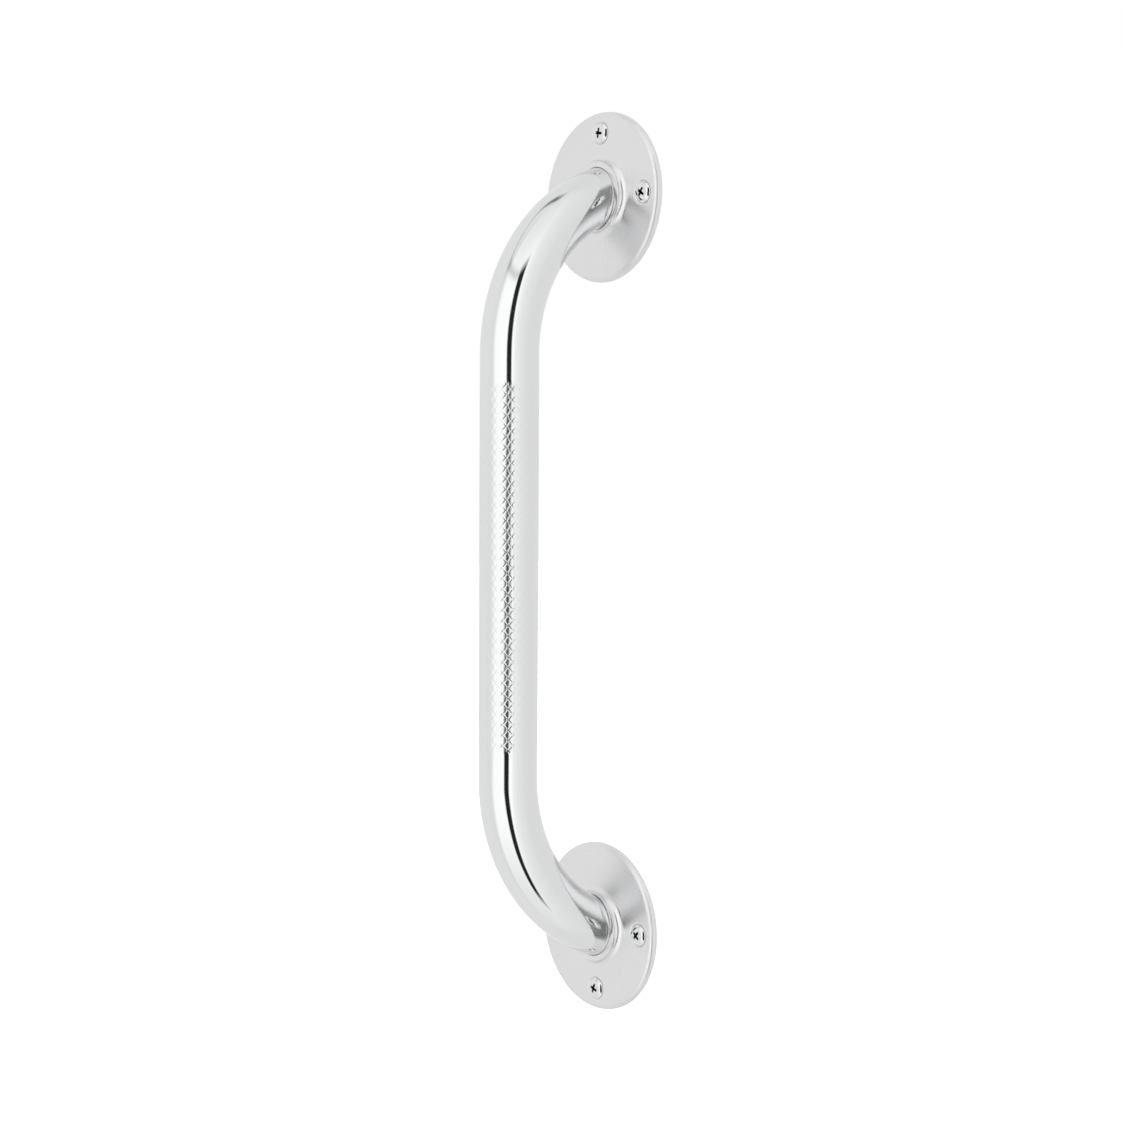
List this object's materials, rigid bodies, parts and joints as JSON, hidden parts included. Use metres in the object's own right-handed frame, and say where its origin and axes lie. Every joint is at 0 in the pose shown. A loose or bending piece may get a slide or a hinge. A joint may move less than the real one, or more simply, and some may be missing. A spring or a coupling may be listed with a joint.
{
  "type": "grab rail",
  "caption": "Wall grab rail: bent chrome-plated tube with a knurled straight grip, welded into round pressed flanges that are fixed by oval-head screws.",
  "frame": {"origin": "on the wall plane, midway between the two flanges, which is the middle of the pattern of side screws", "axes": "+Z along the grip towards the upper flange, +Y into the wall, so the grip stands out towards -Y, +X to the right of someone facing the wall"},
  "size_m": [0.0762, 0.0747, 0.4064],
  "materials": {
    "tube_chrome": "bright chrome plating over brass tube, knurled on the grip",
    "flange_chrome": "bright chrome plating over pressed sheet",
    "weld_steel": "ground weld metal, hidden behind the flange",
    "screw_chrome": "bright chrome plating over steel screw"
  },
  "bodies": {
    "root": {"rail_tube": "tube_chrome", "upper_flange": "flange_chrome", "lower_flange": "flange_chrome", "upper_weld": "weld_steel", "lower_weld": "weld_steel", "upper_end_screw": "screw_chrome", "upper_left_screw": "screw_chrome", "upper_right_screw": "screw_chrome", "lower_end_screw": "screw_chrome", "lower_left_screw": "screw_chrome", "lower_right_screw": "screw_chrome"}
  },
  "joints": []
}
